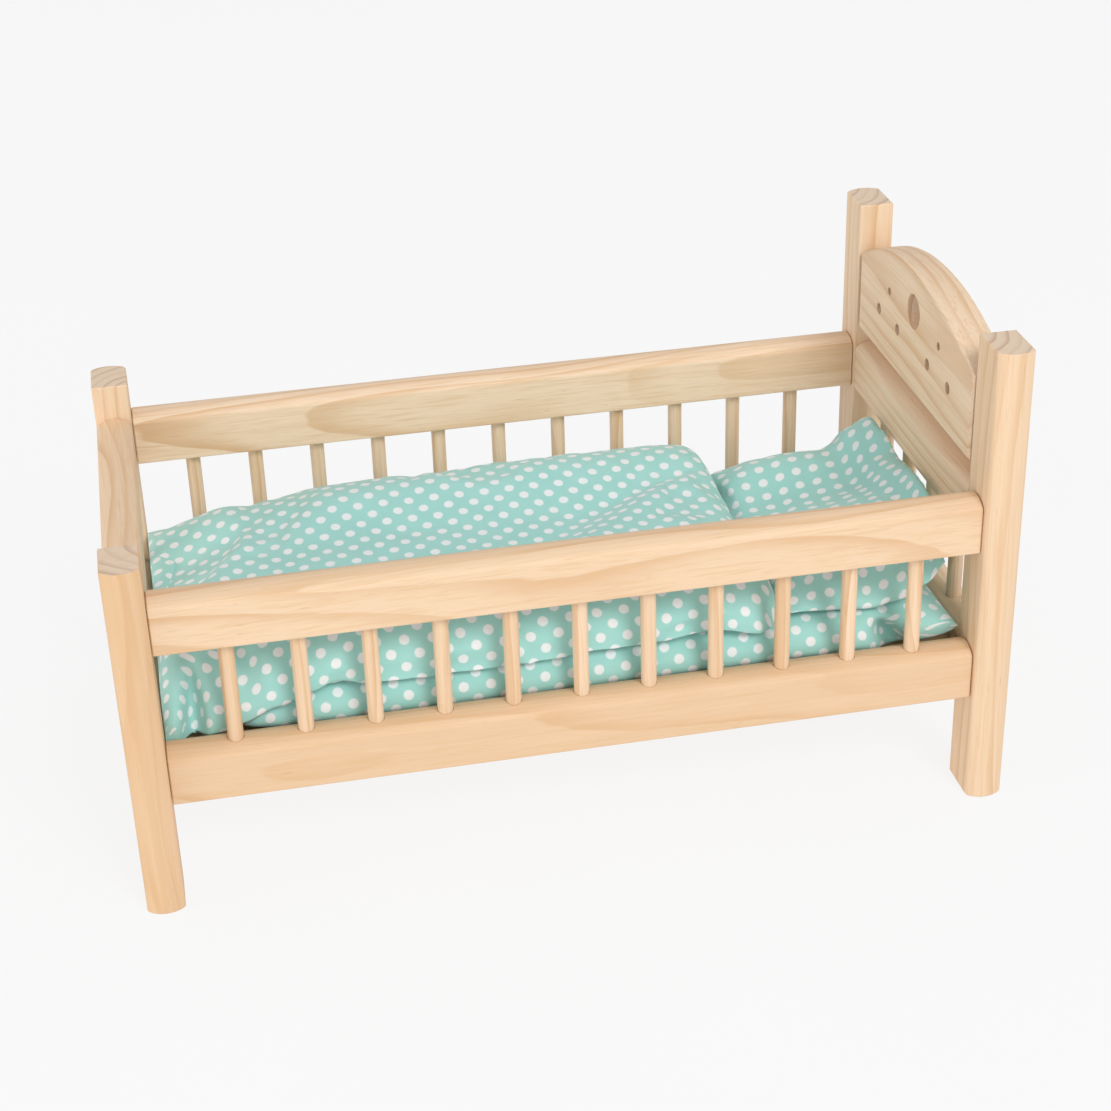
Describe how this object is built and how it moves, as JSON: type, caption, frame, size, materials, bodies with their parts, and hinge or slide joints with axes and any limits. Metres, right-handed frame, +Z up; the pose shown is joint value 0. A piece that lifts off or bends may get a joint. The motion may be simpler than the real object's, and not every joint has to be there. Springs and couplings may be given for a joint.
{
  "type": "doll's bed",
  "caption": "Small pine doll's bed with barred sides, taller head posts, an arched drilled headboard and loose dotted mattress, duvet and pillow.",
  "frame": {"origin": "on the floor, under the middle of the bed", "axes": "+X from the foot end to the head end, +Y from the front side to the back side, +Z up"},
  "size_m": [0.54, 0.29, 0.307],
  "materials": {
    "pine": "planed, unvarnished",
    "plywood": "sanded plywood",
    "beech": "plain dowel rod",
    "zinc_steel": "zinc plated",
    "polka_dot_cotton": "plain-weave cotton, mint with white dots"
  },
  "bodies": {
    "bedstead": {"foot_post_front": "pine", "foot_post_back": "pine", "head_post_front": "pine", "head_post_back": "pine", "front_top_rail": "pine", "front_lower_rail": "pine", "back_top_rail": "pine", "back_lower_rail": "pine", "foot_top_rail": "pine", "foot_lower_rail": "pine", "head_middle_rail": "pine", "head_lower_rail": "pine", "headboard_panel": "pine", "front_spindle_01": "pine", "front_spindle_02": "pine", "front_spindle_03": "pine", "front_spindle_04": "pine", "front_spindle_05": "pine", "front_spindle_06": "pine", "front_spindle_07": "pine", "front_spindle_08": "pine", "front_spindle_09": "pine", "front_spindle_10": "pine", "front_spindle_11": "pine", "back_spindle_01": "pine", "back_spindle_02": "pine", "back_spindle_03": "pine", "back_spindle_04": "pine", "back_spindle_05": "pine", "back_spindle_06": "pine", "back_spindle_07": "pine", "back_spindle_08": "pine", "back_spindle_09": "pine", "back_spindle_10": "pine", "back_spindle_11": "pine", "foot_spindle_1": "pine", "foot_spindle_2": "pine", "foot_spindle_3": "pine", "foot_spindle_4": "pine", "head_spindle_1": "pine", "head_spindle_2": "pine", "head_spindle_3": "pine", "head_spindle_4": "pine", "headboard_dowel_front_low": "beech", "headboard_dowel_front_high": "beech", "headboard_dowel_back_low": "beech", "headboard_dowel_back_high": "beech", "rail_screw_foot_front_top": "zinc_steel", "rail_screw_foot_front_lower": "zinc_steel", "rail_screw_foot_back_top": "zinc_steel", "rail_screw_foot_back_lower": "zinc_steel", "rail_screw_head_front_top": "zinc_steel", "rail_screw_head_front_lower": "zinc_steel", "rail_screw_head_back_top": "zinc_steel", "rail_screw_head_back_lower": "zinc_steel", "base_board": "plywood"},
    "mattress": {"mattress": "polka_dot_cotton"},
    "duvet": {"duvet": "polka_dot_cotton"},
    "pillow": {"pillow": "polka_dot_cotton"}
  },
  "joints": [
    {"name": "mattress_lift", "type": "slide", "parent": "bedstead", "child": "mattress", "axis": [0, 0, 1], "range_m": [0, 0.22]},
    {"name": "duvet_lift", "type": "slide", "parent": "mattress", "child": "duvet", "axis": [0, 0, 1], "range_m": [0, 0.19]},
    {"name": "pillow_lift", "type": "slide", "parent": "mattress", "child": "pillow", "axis": [0, 0, 1], "range_m": [0, 0.19]}
  ]
}
